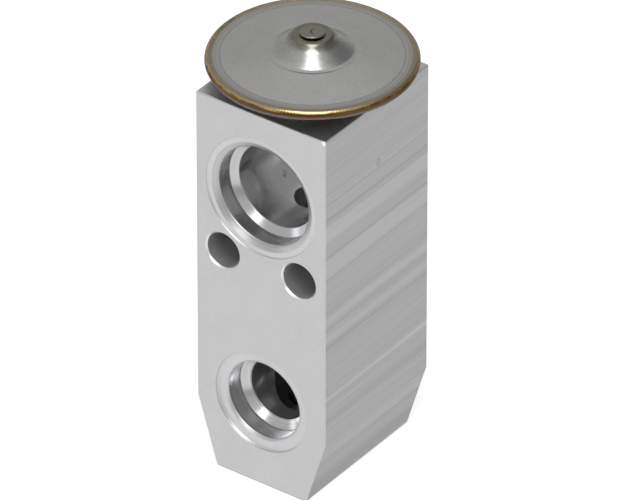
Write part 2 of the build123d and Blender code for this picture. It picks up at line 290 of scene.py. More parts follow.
class Modelling(Tree):
    """A Geometry Nodes tree with named sizes, run once on a piece."""

    KINDS = {int: "NodeSocketInt", float: "NodeSocketFloat"}

    def __init__(self, name: str, **sizes: float | int) -> None:
        """Starts a tree whose inputs have these names and sizes."""
        self.group = bpy.data.node_groups.new(name, "GeometryNodeTree")
        super().__init__(self.group)
        face = self.group.interface
        for way in ("INPUT", "OUTPUT"):
            face.new_socket("Geometry", in_out=way, socket_type="NodeSocketGeometry")
        self.sizes = {}
        for label, value in sizes.items():
            socket = face.new_socket(label, in_out="INPUT", socket_type=self.KINDS[type(value)])
            self.sizes[socket.identifier] = value
        self.entry = self.nodes.new("NodeGroupInput")

    def given(self, label: str) -> Value:
        """A named size, or the piece's "Geometry"."""
        return Value(self, self.entry.outputs[label])

    def point(self, x: Operand, y: Operand, z: Operand) -> Value:
        """A place from its three numbers."""
        return self.node("ShaderNodeCombineXYZ", {}, {"X": x, "Y": y, "Z": z})

    def moved(self, geometry: Value, position: Value) -> Value:
        """The geometry with its points at new places."""
        return self.node("GeometryNodeSetPosition", {}, {"Geometry": geometry, "Position": position})

    def run(self, piece: Piece, geometry: Value, finish: "Finish") -> Piece:
        """Runs the tree on a piece and keeps the result as its mesh.

        Args:
            piece: the object that takes the modifier.
            geometry: the tree's last geometry.
            finish: the finish of the whole result.

        Returns:
            The piece with a plain mesh.
        """
        real = self.node("GeometryNodeRealizeInstances", {}, {"Geometry": geometry})
        dressed = self.node("GeometryNodeSetMaterial", {}, {"Geometry": real, "Material": finish.material()})
        self.end("NodeGroupOutput", "Geometry", dressed)
        modifier = piece.modifiers.new(self.group.name, "NODES")
        modifier.node_group = self.group
        for identifier, value in self.sizes.items():
            modifier[identifier] = value
        return baked(piece)


@dataclass(frozen=True)
class Finish:
    """A surface finish: its name, its colour and how rough it is."""

    name: str
    colour: Colour
    roughness: float

    def material(self) -> Material:
        """The finish's material, made the first time that it is asked for."""
        return bpy.data.materials.get(self.name) or self.paint(Shader(self.name))

    def paint(self, s: Shader) -> Material:
        """Paints the material."""
        raise NotImplementedError


@dataclass(frozen=True)
class MattAluminium(Finish):
    """Faced and tumbled aluminium: an even, fine matt with faint clouds and a painted highlight at a corner.
    """

    grain: float = 3.2
    clouds: float = 0.22
    painted_highlight_place: Triple = (13.9, -15.5, 77.9)
    painted_highlight_edge: Point = (1.0, 0.4)

    def paint(self, s: Shader) -> Material:
        """Paints the material."""
        grain = s.noise(s.place, self.grain, 4.0)
        clouds = s.noise(s.place, self.clouds)
        # Painted highlight: the corner near this place is made lighter, standing for the glint on its rounded
        # edge.
        painted_highlight = s.rise(s.away(self.painted_highlight_place) + grain.swing(0.6), *self.painted_highlight_edge)
        tone = 1 + grain.swing(0.14) + clouds.swing(0.10) - s.foot_shade() + painted_highlight * 0.6
        return s.surface(s.scaled(self.colour, tone), self.roughness + grain.swing(0.1), s.bump(grain, 0.004))


@dataclass(frozen=True)
class DrawnAluminium(Finish):
    """The extruded sides: streaks of many widths along the bar, which runs along Y.

    Each of the bands is a level, a half width and how much lighter it is.
    """

    fine: float = 3.2
    broad: float = 0.5
    bands: tuple[Triple, ...] = (
        (2.6, 2.4, -0.08), (11.3, 2.4, 0.10), (18.8, 0.9, -0.06), (23.4, 0.62, 0.15), (34.3, 0.5, -0.07),
        (36.0, 0.75, 0.10), (38.3, 0.6, -0.07), (40.1, 0.8, 0.12), (41.8, 0.6, -0.06), (51.0, 2.3, 0.10),
        (53.4, 0.3, -0.10), (58.3, 1.7, 0.11), (61.3, 0.5, -0.08), (64.4, 0.5, -0.08),
    )
    band_core: float = 0.6
    nick_y: float = 0.3
    nick_z: float = 65.5
    nick_radius: float = 0.55
    nick_line: Point = (0.22, 0.05)

    def paint(self, s: Shader) -> Material:
        """Paints the material."""
        fine = s.marks(self.fine, (1.0, 0.010, 1.0), 5.0)
        broad = s.marks(self.broad, (1.0, 0.015, 1.0))
        wander = s.marks(0.25, (1.0, 0.2, 1.0)).swing(0.5)
        grain = s.noise(s.place, 3.5)
        tone = 1 + fine.swing(0.28) + broad.swing(0.26) + grain.swing(0.08) - s.foot_shade()
        tone = tone + s.lines(s.z + wander, self.bands, self.band_core)
        off_y = s.y - self.nick_y
        off_z = s.z - self.nick_z
        off = (off_y * off_y * 2.2 + off_z * off_z * 0.8) ** 0.5
        tone = tone - s.rise(abs(off - self.nick_radius + grain.swing(0.5)), *self.nick_line) * 0.3
        return s.surface(s.scaled(self.colour, tone), self.roughness + broad.swing(0.12), s.bump(fine, 0.006))


@dataclass(frozen=True)
class TurnedMetal(Finish):
    """A turned or bored surface with the tool's fine rings."""

    run: Run = Run.ALONG_Z
    depth: float = 0.006
    shine: float = 1.0

    def light(self, s: Shader) -> Operand:
        """The painted light at a place, added to the plain finish's tone; below 0 it is painted shade."""
        return 0.0

    def wear(self, s: Shader) -> Operand:
        """How much rougher a place is than the plain finish."""
        return 0.0

    def paint(self, s: Shader) -> Material:
        """Paints the material."""
        rings = s.marks(1.6, self.run.value, 4.0)
        # The tone takes the painted light and shade that a subclass gives.
        tone = 1 + rings.swing(0.30) + s.noise(s.place, 0.5).swing(0.06) + self.light(s)
        rough = self.roughness + rings.swing(0.10) + self.wear(s)
        return s.surface(s.scaled(self.colour, tone), rough, s.bump(rings, self.depth), self.shine)


@dataclass(frozen=True)
class DrilledHole(TurnedMetal):
    """A hole through the block, with painted light towards its mouths."""

    mouth: Point = (11.0, 15.0)
    mouth_painted_light: float = 0.45

    def light(self, s: Shader) -> Value:
        """The painted light towards the mouths, added to the plain finish's tone."""
        return s.rise(abs(s.y), *self.mouth) * self.mouth_painted_light


@dataclass(frozen=True)
class PortBore(TurnedMetal):
    """A port with painted light and shade in it: each edge is how far out of the block's middle a stretch of
    that painted light or shade starts and ends.

    Each of the pits is a place and a radius.
    """

    level_between: Point = (25.0, 30.0)
    middle_edge: Point = (7.5, 2.0)
    middle_painted_light: float = 0.62
    inlet_edge: Point = (10.6, 10.1)
    inlet_painted_shade: float = -0.23
    inlet_gland_painted_light: float = 0.60
    suction_painted_shade: float = -0.27
    gland_edge: Point = (14.6, 13.6)
    cone_middle: float = 10.95
    cone_edge: Point = (0.45, 0.75)
    chamfer_start: Point = (14.2, 14.5)
    chamfer_end: Point = (15.18, 15.1)
    chamfer_painted_shade: float = -0.15
    chamfer_wear: float = 0.14
    spot_edge: Point = (14.7, 14.85)
    spot_light: float = 0.08
    pits: tuple[tuple[float, ...], ...] = (
        (-5.98, -0.18, 55.22, 0.5),
        (-6.19, 0.41, 55.45, 0.3),
        (-6.51, 0.25, 55.83, 0.3),
    )

    def light(self, s: Shader) -> Value:
        """The painted light and shade in the port: lighter in the middle of the through bore and in the
        inlet's gland, darker deeper in the inlet, in the suction port's gland and on its lead-in chamfer;
        also a little lighter on the spot face and darker at the pits.
        """
        # Painted light and shade: tones that stand for light reaching into the bores and reflected in the
        # inlet's gland, and for shade deeper in.
        out = abs(s.y)
        above = s.rise(s.z, *self.level_between)
        step = self.inlet_painted_shade - self.inlet_gland_painted_light
        below = s.rise(out, *self.inlet_edge) * step + self.inlet_gland_painted_light
        entry = above * (self.suction_painted_shade - below) + below
        off_cone = s.rise(abs(out - self.cone_middle), *self.cone_edge)
        chamfer = s.rise(out, *self.chamfer_start) * s.rise(out, *self.chamfer_end) * above
        light = s.rise(out, *self.middle_edge) * self.middle_painted_light
        light = light + s.rise(out, *self.gland_edge) * entry * off_cone
        light = light + s.rise(out, *self.spot_edge) * self.spot_light + chamfer * self.chamfer_painted_shade
        for *place, size in self.pits:
            light = light - s.rise(s.away(place), size, 0.4 * size) * 0.6
        return light

    def wear(self, s: Shader) -> Value:
        """How much rougher a place is than the plain finish."""
        return s.rise(abs(s.y), *self.chamfer_start) * self.chamfer_wear


@dataclass(frozen=True)
class PressedSteel(Finish):
    """Pressed stainless sheet, satin, with the weld's straw tint towards its edge, painted shade over the
    dome and painted shade lines at the lid's bends and by the bead.

    Each of the lines is a painted shade line: a radius, a half width and how much lighter it is.
    """

    tint: Colour = (0.38, 0.34, 0.28)
    tint_edge: Point = (16.0, 17.6)
    collar_tint: Colour = (0.25, 0.24, 0.19)
    collar_edge: Point = (5.0, 3.5)
    dome_shade_edge: Point = (7.6, 6.0)
    lines: tuple[Triple, ...] = ((16.3, 0.28, -0.22), (17.05, 0.22, -0.07), (17.72, 0.22, -0.35))
    shade_line_core: float = 0.2

    def paint(self, s: Shader) -> Material:
        """Paints the material."""
        grain = s.noise(s.place, 2.2, 4.0)
        clouds = s.noise(s.place, 0.35)
        radius = s.radius(s.x, s.y)
        tinted = s.rise(radius + clouds.swing(0.8), *self.tint_edge) * (0.3 + clouds * 0.8)
        collar = s.rise(radius + grain.swing(0.6), *self.collar_edge)
        colour = s.mix(collar, s.mix(tinted, self.colour, self.tint), self.collar_tint)
        # Painted shade: the dome is made darker, and the lines darken the lid's bends and the groove by the
        # bead.
        tone = 1 + grain.swing(0.22) + clouds.swing(0.14) - s.rise(radius, *self.dome_shade_edge) * 0.14
        tone = tone + s.lines(radius, self.lines, self.shade_line_core)
        return s.surface(s.scaled(colour, tone), self.roughness + grain.swing(0.08), s.bump(grain, 0.004))


@dataclass(frozen=True)
class TintedWeld(Finish):
    """The weld bead: gold on its crown, brown on its side and grey below."""

    low: float = 81.0
    high: float = 82.95
    lilac: Colour = (0.17, 0.145, 0.13)
    umber: Colour = (0.10, 0.062, 0.03)
    bronze: Colour = (0.20, 0.11, 0.04)
    straw: Colour = (0.30, 0.26, 0.19)

    def paint(self, s: Shader) -> Material:
        """Paints the material."""
        patches = s.noise(s.place, 0.5, 4.0)
        height = (s.z - self.low) / (self.high - self.low) + patches.swing(0.3)
        stops = (
            (0.0, self.lilac),
            (0.35, self.lilac),
            (0.55, self.umber),
            (0.78, self.bronze),
            (0.88, self.colour),
            (0.96, self.straw),
        )
        colour = s.scaled(s.node("ShaderNodeValToRGB", {"stops": stops}, {0: height}), 0.8 + patches * 0.4)
        return s.surface(colour, self.roughness + patches.swing(0.12), s.bump(s.noise(s.place, 4.0), 0.01))


@dataclass(frozen=True)
class PlugSteel(Finish):
    """The welded plug, stained brown by the heat, with a bowed crease on its top in a near-black colour."""

    crease_half_length: float = 1.3
    crease_half_width: float = 0.22
    crease_bow: float = 0.45
    crease_turn: float = 36.0
    crease_offset: float = 0.3
    crease_colour: Colour = (0.05, 0.045, 0.035)

    def paint(self, s: Shader) -> Material:
        """Paints the material."""
        turn = radians(self.crease_turn)
        across = s.x * cos(turn) + s.y * sin(turn)
        along = s.y * cos(turn) - s.x * sin(turn)
        off = abs(across + self.crease_offset - along * along * self.crease_bow)
        mark = s.rise(off, self.crease_half_width, 0.2 * self.crease_half_width)
        mark = mark * s.rise(abs(along), self.crease_half_length, 0.7 * self.crease_half_length)
        grain = s.noise(s.place, 2.5, 4.0)
        colour = s.scaled(s.mix(mark, self.colour, self.crease_colour), 0.9 + grain * 0.2)
        return s.surface(colour, self.roughness + grain.swing(0.2), s.bump(1 - mark + grain * 0.2, 0.06))


@dataclass(frozen=True)
class GroundSteel(Finish):
    """Ground, drawn or polished steel: fine marks, all but smooth."""

    stretch: Triple = (1.0, 1.0, 5.0)
    depth: float = 0.001

    def paint(self, s: Shader) -> Material:
        """Paints the material."""
        marks = s.marks(3.0, self.stretch)
        colour = s.scaled(self.colour, 1 + marks.swing(0.12))
        return s.surface(colour, self.roughness + marks.swing(0.06), s.bump(marks, self.depth))


@dataclass(frozen=True)
class SealRubber(Finish):
    """Moulded black rubber with a faint bloom."""

    def paint(self, s: Shader) -> Material:
        """Paints the material."""
        bloom = s.noise(s.place, 1.2, 4.0)
        colour = s.scaled(self.colour, 0.8 + bloom * 0.5)
        return s.surface(colour, self.roughness + bloom.swing(0.2), s.bump(s.noise(s.place, 8.0), 0.004), 0.0)


FACED = MattAluminium("faced_aluminium", (0.62, 0.62, 0.625), 0.40)
DRAWN = DrawnAluminium("drawn_aluminium", (0.60, 0.60, 0.60), 0.42)
PORT_BORE = PortBore("bored_aluminium_ports", (0.62, 0.62, 0.63), 0.19, Run.ALONG_Y, 0.005, 0.80)
AXIS_BORE = TurnedMetal("bored_aluminium_axis", (0.56, 0.56, 0.565), 0.30, shine=0.85)
DRILLED = DrilledHole("drilled_aluminium", (0.60, 0.60, 0.605), 0.33, Run.ALONG_Y, 0.012, 0.82)
COVER = PressedSteel("pressed_steel", (0.47, 0.467, 0.460), 0.24)
# The lower cover is near black: painted shade standing for the shadow under the head.
PAN = PressedSteel("pan_steel_painted_shade", (0.11, 0.107, 0.10), 0.34)
WELD = TintedWeld("heat_tinted_weld", (0.60, 0.42, 0.17), 0.22)
PLUG = PlugSteel("welded_plug", (0.25, 0.235, 0.205), 0.34)
TURNED_STEEL = TurnedMetal("lathe_turned_steel", (0.50, 0.50, 0.49), 0.32)
TURNED_DISC = TurnedMetal("turned_stopper", (0.60, 0.60, 0.60), 0.30)
FOIL = GroundSteel("diaphragm_foil", (0.56, 0.56, 0.55), 0.22, (0.6, 0.6, 0.6))
ROD = GroundSteel("ground_rod", (0.60, 0.60, 0.60), 0.16)
BALL = GroundSteel("polished_ball", (0.66, 0.66, 0.67), 0.07, (1.0, 1.0, 1.0), 0.0003)
SPRING = GroundSteel("spring_wire", (0.43, 0.43, 0.42), 0.28, (2.0, 2.0, 2.0))
RUBBER = SealRubber("moulded_rubber", (0.018, 0.020, 0.018), 0.55)


def direction(azimuth: float, elevation: float) -> Vector:
    """The way from the valve towards a place that is seen at this azimuth and elevation, in degrees."""
    turn, lift = radians(azimuth), radians(elevation)
    return Vector((sin(turn) * cos(lift), -cos(turn) * cos(lift), sin(lift)))


def baked(piece: Piece) -> Piece:
    """Turns a piece's modifiers into its mesh and returns the piece."""
    graph = bpy.context.evaluated_depsgraph_get()
    mesh = bpy.data.meshes.new_from_object(piece.evaluated_get(graph))
    piece.modifiers.clear()
    piece.data = mesh
    return piece


def linked(name: str, data: bpy.types.ID) -> Piece:
    """Makes an object of a mesh, a lamp or a camera and adds it to the scene."""
    made = bpy.data.objects.new(name, data)
    bpy.context.scene.collection.objects.link(made)
    return made


def from_mesh(name: str, bm: bmesh.types.BMesh, *finishes: Finish) -> Piece:
    """Makes an object of a finished bmesh, with its finishes as material slots."""
    bmesh.ops.recalc_face_normals(bm, faces=bm.faces)
    mesh = bpy.data.meshes.new(name)
    bm.to_mesh(mesh)
    bm.free()
    for finish in finishes:
        mesh.materials.append(finish.material())
    return linked(name, mesh)


def rounded(*corners: Sequence[float], steps: int = 6) -> list[Point]:
    """Rounds the corners of an outline.

    Args:
        corners: the outline's corners in millimetres, each with a radius unless it is sharp.
        steps: the number of edges in each bend.

    Returns:
        The outline's points.
    """
    outline: list[Point] = []
    for index, (x, y, *radius) in enumerate(corners):
        here = Vector((x, y))
        back = Vector(corners[index - 1][:2]) - here
        ahead = Vector(corners[(index + 1) % len(corners)][:2]) - here
        half_turn = (pi - back.angle(ahead)) / 2
        if not radius or half_turn < POLE_RADIUS:
            outline.append((x, y))
            continue
        reach = min(radius[0] * tan(half_turn), MOST_OF_SIDE * back.length, MOST_OF_SIDE * ahead.length)
        bend = reach / tan(half_turn)
        back.normalize()
        ahead.normalize()
        centre = here + (back + ahead).normalized() * bend / cos(half_turn)
        start = (here + back * reach - centre).normalized()
        end = (here + ahead * reach - centre).normalized()
        outline += [tuple(centre + start.slerp(end, step / steps) * bend) for step in range(steps + 1)]
    return outline


def thickened(upper_side: Sequence[Point], sheet: float) -> list[Point]:
    """Returns the closed outline of a sheet that lies under its upper side, in millimetres."""
    points = [Vector(point) for point in upper_side]
    lower_side = []
    for index, point in enumerate(points):
        arms = [b - a for a, b in zip(points[max(index - 1, 0):index + 1], points[max(index, 1):index + 2])]
        sides = [Vector((arm.y, -arm.x)).normalized() for arm in arms]
        middle = sum(sides, Vector((0, 0))).normalized()
        lower_side.append(point + middle * sheet / middle.dot(sides[0]))
    return [tuple(point) for point in points + lower_side[::-1]]


def arc(centre: Point, reach: Point, start: float, end: float, steps: int) -> list[Point]:
    """Returns the points of an ellipse's arc from a start to an end in radians."""
    turns = [start + (end - start) * step / steps for step in range(steps + 1)]
    return [(centre[0] + reach[0] * cos(turn), centre[1] + reach[1] * sin(turn)) for turn in turns]


def tube(inner: float, outer: float, low: float, high: float) -> tuple[Point, ...]:
    """Returns the outline of a plain tube or disc."""
    return (inner, low), (outer, low), (outer, high), (inner, high)


def thread_rings(radius: float, low: float, high: float) -> list[Point]:
    """Returns points up a cylinder that lie close enough together for a thread."""
    levels = [low + THREAD_RING_GAP * step for step in range(int((high - low) / THREAD_RING_GAP) + 2)]
    return [(radius, level) for level in levels if level < high]


def turned(
    name: str,
    outline: Sequence[Point],
    finish: Finish,
    about: Matrix = Matrix.Identity(4),
    segments: int = SEGMENTS,
) -> Piece:
    """Turns an outline about an axis.

    Args:
        name: the piece's name.
        outline: (radius, height) pairs in millimetres; one that starts off the axis is closed to itself.
        finish: the finish of every face.
        about: where the axis lies.
        segments: the number of faces round the axis.

    Returns:
        The piece.
    """
    bm = bmesh.new()
    turns = [2 * pi * step / segments for step in range(segments)]
    rings = []
    for radius, height in outline:
        spokes = turns if radius > POLE_RADIUS else turns[:1]
        places = [(radius * MM * cos(turn), radius * MM * sin(turn), height * MM) for turn in spokes]
        rings.append([bm.verts.new(place) for place in places])
    pairs = list(zip(rings, rings[1:]))
    if len(rings[0]) > 1:
        pairs.append((rings[-1], rings[0]))
    for low, high in pairs:
        for step in range(segments):
            ahead = (step + 1) % segments
            spots = ((low, step), (low, ahead), (high, ahead), (high, step))
            bm.faces.new(dict.fromkeys(ring[at % len(ring)] for ring, at in spots))
    bm.transform(about)
    return from_mesh(name, bm, finish)


def along_y(facing: float, x: float, y: float, z: float) -> Matrix:
    """Returns the place of a cutter that is turned about a line along Y, from millimetres."""
    return Matrix.Translation((x * MM, y * MM, z * MM)) @ Matrix.Rotation(facing * pi / 2, 4, "X")


def section_ends(section: Sequence[Point], half_length: float) -> tuple[bmesh.types.BMesh, list, list]:
    """Starts a bar along Y.

    Args:
        section: its corners in X and Z, in millimetres.
        half_length: half of its length.

    Returns:
        The mesh, and the corners of its front and of its back.
    """
    bm = bmesh.new()
    front, back = (
        [bm.verts.new((x * MM, side * half_length * MM, z * MM)) for x, z in section] for side in (-1, 1)
    )
    return bm, front, back


def join_ends(bm: bmesh.types.BMesh, front: Sequence, back: Sequence) -> None:
    """Adds the faces between the two ends of a bar."""
    for index in range(len(front)):
        bm.faces.new((front[index - 1], front[index], back[index], back[index - 1]))


def cut(piece: Piece, cutters: Iterable[Piece]) -> Piece:
    """Takes the cutters out of a piece; each cut face keeps its cutter's finish."""
    cutters = list(cutters)
    for cutter in cutters:
        step = piece.modifiers.new(cutter.name, "BOOLEAN")
        step.operation = "DIFFERENCE"
        step.solver = "EXACT"
        step.material_mode = "TRANSFER"
        step.object = cutter
    baked(piece)
    for cutter in cutters:
        bpy.data.objects.remove(cutter)
    return piece


def joined(name: str, *pieces: Piece) -> Piece:
    """Joins pieces of one finish into one piece with this name."""
    bm = bmesh.new()
    for piece in pieces:
        bm.from_mesh(piece.data)
    material = pieces[0].data.materials[0]
    for piece in pieces:
        bpy.data.objects.remove(piece)
    whole = from_mesh(name, bm)
    whole.data.materials.append(material)
    return whole


def smoothed(piece: Piece) -> Piece:
    """Shades a piece smooth, with flat faces kept flat and corners sharp."""
    piece.data.shade_smooth()
    piece.data.set_sharp_from_angle(angle=SMOOTH_ANGLE)
    weights = piece.modifiers.new("even_normals", "WEIGHTED_NORMAL")
    weights.keep_sharp = True
    return baked(piece)


def seated(piece: Piece, body: Body, slot: str, *nodes: str) -> None:
    """Smooths a piece and puts it on its body, in place of the nodes that it stands for."""
    smoothed(piece)
    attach(piece, body.value)
    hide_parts(*nodes)
    LOG.info("%s: %d faces on %s", piece.name, len(piece.data.polygons), body.value)


def threaded(piece: Piece, finish: Finish, radius: float, low: float, high: float) -> None:
    """Cuts a fine thread into the dense rings of a turned piece.

    Args:
        piece: the piece, whose threaded stretch has rings close together.
        finish: its finish.
        radius: the thread's outer radius.
        low: the level of its lower end.
        high: the level of its upper end.
    """
    sizes = {"pitch": THREAD_PITCH, "depth": THREAD_DEPTH, "radius": radius, "low": low, "high": high}
    tree = Modelling("thread", **{name: size * MM for name, size in sizes.items()})
    x, y, z = tree.parts(tree.node("GeometryNodeInputPosition"))
    phase = z / tree.given("pitch") - tree.math("ARCTAN2", y, x) / (2 * pi)
    ridge = abs(tree.math("FRACT", phase) - 0.5) * 2
    low_flank, high_flank = THREAD_FLANK
    flank = {"Value": ridge, "From Min": low_flank, "From Max": high_flank}
    shape = tree.node("ShaderNodeMapRange", {}, flank)
    run_out = tree.given("pitch") * THREAD_RUN_OUT
    inside = tree.math("MINIMUM", (z - tree.given("low")) / run_out, (tree.given("high") - z) / run_out)
    fade = tree.math("MINIMUM", tree.math("MAXIMUM", inside, 0.0), 1.0)
    on_shank = tree.math("GREATER_THAN", tree.radius(x, y), tree.given("radius") - 0.01 * MM)
    keep = 1 - shape * fade * on_shank * tree.given("depth") / tree.given("radius")
    tree.run(piece, tree.moved(tree.given("Geometry"), tree.point(x * keep, y * keep, z)), finish)


def ringed(piece: Piece, finish: Finish, count: int, start_turn: float) -> Piece:
    """Repeats a piece in a ring about the valve's axis, from a first turn in radians."""
    tree = Modelling("ring_of_copies", count=count, start=start_turn)
    points = tree.node("GeometryNodeMeshLine", {}, {"Count": tree.given("count"), "Offset": (0.0, 0.0, 0.0)})
    step = tree.node("GeometryNodeInputIndex") * (2 * pi) / tree.given("count")
    places = {
        "Points": points,
        "Instance": tree.given("Geometry"),
        "Rotation": tree.point(0.0, 0.0, step + tree.given("start")),
    }
    return tree.run(piece, tree.node("GeometryNodeInstanceOnPoints", {}, places), finish)


@dataclass
class Mount:
    """A mount of the record, in millimetres."""

    name: str

    def __post_init__(self) -> None:
        """Reads the mount."""
        found = next(mount for mount in frame["record"]["mounts"] if mount["name"] == self.name)
        self.level = found["pos_m"][2] / MM
        self.depth = abs(found["pos_m"][1]) / MM
        self.dims = found["dims"]


@dataclass
class Span:
    """The levels and the outer radius of a node, in millimetres."""

    node: str

    def __post_init__(self) -> None:
        """Reads the node's box."""
        low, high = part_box(self.node)
        self.low = low.z / MM
        self.high = high.z / MM
        self.radius = high.x / MM
        self.half_depth = high.y / MM
        self.middle = (self.low + self.high) / 2
        self.half_height = (self.high - self.low) / 2


def seal_ring(name: str, body: Body, node: str, segments: int = SEGMENTS) -> None:
    """Makes a rubber ring of round section and seats it in place of its node."""
    span = Span(node)
    section = span.half_height
    outline = arc((span.radius - section, span.low + section), (section, section), 0.0, 2 * pi, 32)[:-1]
    seated(turned(name, outline, RUBBER, segments=segments), body, "seal_rubber", node)


@dataclass
class Block:
    """The block: a length of extruded bar with its ports, bolt holes and the bores on its axis."""

    taper_inset: float = 4.2
    taper_height: float = 13.8
    edge_round: float = 0.32
    edge_steps: int = 4
    hole_edge: float = 0.06
    lead_in_bend: float = 0.35
    gland_bend: float = 0.08
    cone_bend: float = 0.12
    spot_depth: float = 0.3
    spot_margin: float = 2.2
    suction_lead_in: float = 1.25
    suction_bore: float = 8.25
    suction_overlap: float = 0.5
    liquid_spot_depth: float = 0.6
    liquid_spot_margin: float = 2.25
    liquid_lead_in: float = 0.55
    inlet_bore: float = 6.1
    outlet_bore: float = 4.25
    outlet_past_axis: float = 3.5
    bolt_chamfer: float = 0.3
    chamber: float = 6.75
    chamber_roof: float = 24.6
    orifice: float = 1.6
    screw_hole: float = 7.5
    screw_hole_depth: float = 7.2
    head_bore: float = 9.6
    head_bore_depth: float = 7.5
    head_well: float = 6.5
    seal_pocket: float = 11.3
    seal_pocket_depth: float = 1.7
    rod_pocket: float = 3.25
    rod_pocket_floor: float = 47.05
    rod_hole: float = 1.15

    def __post_init__(self) -> None:
        """Reads the block's size and its mounts from the frame."""
        self.span = Span("valve_body")
        self.suction = Mount("suction_front_port")
        self.inlet = Mount("liquid_inlet_port")
        self.outlet = Mount("liquid_outlet_port")
        self.bolts = Mount("clamp_bolts")

    def bar(self) -> Piece:
        """The bare bar, its edges rounded except at the two folds."""
        half_width, height = self.span.radius, self.span.high
        half_foot = half_width - self.taper_inset
        half_section = ((half_foot, 0.0), (half_width, self.taper_height), (half_width, height))
        section = [(-half_foot, 0.0), *half_section, *((-x, z) for x, z in half_section[:0:-1])]
        bm, front, back = section_ends(section, self.span.half_depth)
        bm.faces.new(front)
        bm.faces.new(back)
        join_ends(bm, front, back)
        bmesh.ops.recalc_face_normals(bm, faces=bm.faces)
        edges = [
            edge for edge in bm.edges
            if any(abs(vert.co.z / MM - self.taper_height) >= CUT_PAST for vert in edge.verts)
        ]
        offset, steps = self.edge_round * MM, self.edge_steps
        bmesh.ops.bevel(bm, geom=edges, offset=offset, segments=steps, profile=0.5, affect="EDGES")
        for face in bm.faces:
            face.material_index = int(abs(face.normal.y) < cos(radians(60)))
        return from_mesh("block", bm, FACED, DRAWN)

    def port(self, name: str, mount: Mount, facing: int, radius: float, depth: float) -> Piece:
        """The cutter of a pipe port.

        Args:
            name: the cutter's name.
            mount: the gland that it belongs to.
            facing: -1 on the front, 1 on the back.
            radius: the radius of the bore behind the gland.
            depth: the depth of that bore.

        Returns:
            The cutter.
        """
        large = mount is self.suction
        spot_depth = self.spot_depth if large else self.liquid_spot_depth
        lead_in = self.suction_lead_in if large else self.liquid_lead_in
        gland = mount.dims["r_mm"]
        spot = gland + (self.spot_margin if large else self.liquid_spot_margin)
        gland_floor = self.span.half_depth - mount.depth + mount.dims["length_mm"] / 2
        outline = rounded(
            (0, -CUT_PAST),
            (spot + CUT_PAST + self.hole_edge, -CUT_PAST),
            (spot, self.hole_edge, FINE_BEND),
            (spot, spot_depth, 0.6 * spot_depth),
            (gland + lead_in, spot_depth, self.lead_in_bend),
            (gland, spot_depth + lead_in * PORT_SLOPE, self.lead_in_bend),
            (gland, gland_floor, self.gland_bend),
            (radius, gland_floor + (gland - radius) * PORT_SLOPE, self.cone_bend),
            (radius, depth),
            (0, depth),
        )
        place = along_y(facing, 0, facing * self.span.half_depth, mount.level)
        return turned(name, outline, PORT_BORE, place)

    def bolt_hole(self, side: int) -> Piece:
        """The cutter of a clamp-bolt hole, left (-1) or right (1)."""
        radius, reach = self.bolts.dims["hole_r_mm"], self.span.half_depth
        flare = radius + self.bolt_chamfer + CUT_PAST
        outline = rounded(
            (0, -reach - CUT_PAST),
            (flare, -reach - CUT_PAST),
            (radius, self.bolt_chamfer - reach, SMALL_BEND),
            (radius, reach - self.bolt_chamfer, SMALL_BEND),
            (flare, reach + CUT_PAST),
            (0, reach + CUT_PAST),
        )
        place = along_y(1, side * self.bolts.dims["spacing_x_mm"] / 2, 0, self.bolts.level)
        return turned(f"bolt_hole_{side}", outline, DRILLED, place)

    def lower_bore(self) -> Piece:
        """The cutter of the screw hole, the chamber and the orifice, from the bottom face up."""
        lip = self.edge_round
        shoulder = self.screw_hole_depth + self.screw_hole - self.chamber
        outline = rounded(
            (0, -CUT_PAST),
            (self.screw_hole + CUT_PAST + lip, -CUT_PAST),
            (self.screw_hole, lip),
            (self.screw_hole, self.screw_hole_depth),
            (self.chamber, shoulder, SMALL_BEND),
            (self.chamber, self.chamber_roof, SMALL_BEND),
            (self.orifice, self.chamber_roof, FINE_BEND),
            (self.orifice, self.outlet.level),
            (0, self.outlet.level),
        )
        return turned("lower_bore", outline, AXIS_BORE)

    def upper_bore(self) -> Piece:
        """The cutter of the head's thread and well, the rod's pocket and its hole, from the top down."""
        top = self.span.high
        steps = (
            (self.seal_pocket, top - self.seal_pocket_depth),
            (self.head_bore, top - self.head_bore_depth),
            (self.head_well, self.suction.level),
            (self.rod_pocket, self.rod_pocket_floor),
            (self.rod_hole, self.outlet.level),
        )
        outline = [(0, top + CUT_PAST)]
        level = top + CUT_PAST
        for radius, floor in steps:
            outline += [(radius, level), (radius, floor)]
            level = floor
        return turned("upper_bore", [*outline, (0, level)], AXIS_BORE)

    def build(self) -> None:
        """Builds the block and seats it."""
        half = self.span.half_depth
        overlap = half + self.suction_overlap
        cutters = [
            self.port("suction_front", self.suction, -1, self.suction_bore, overlap),
            self.port("suction_back", self.suction, 1, self.suction_bore, overlap),
            self.port("inlet", self.inlet, -1, self.inlet_bore, half),
            self.port("outlet", self.outlet, 1, self.outlet_bore, half + self.outlet_past_axis),
            self.bolt_hole(-1),
            self.bolt_hole(1),
            self.lower_bore(),
            self.upper_bore(),
        ]
        seated(cut(self.bar(), cutters), Body.BLOCK, "block_aluminium", "valve_body")


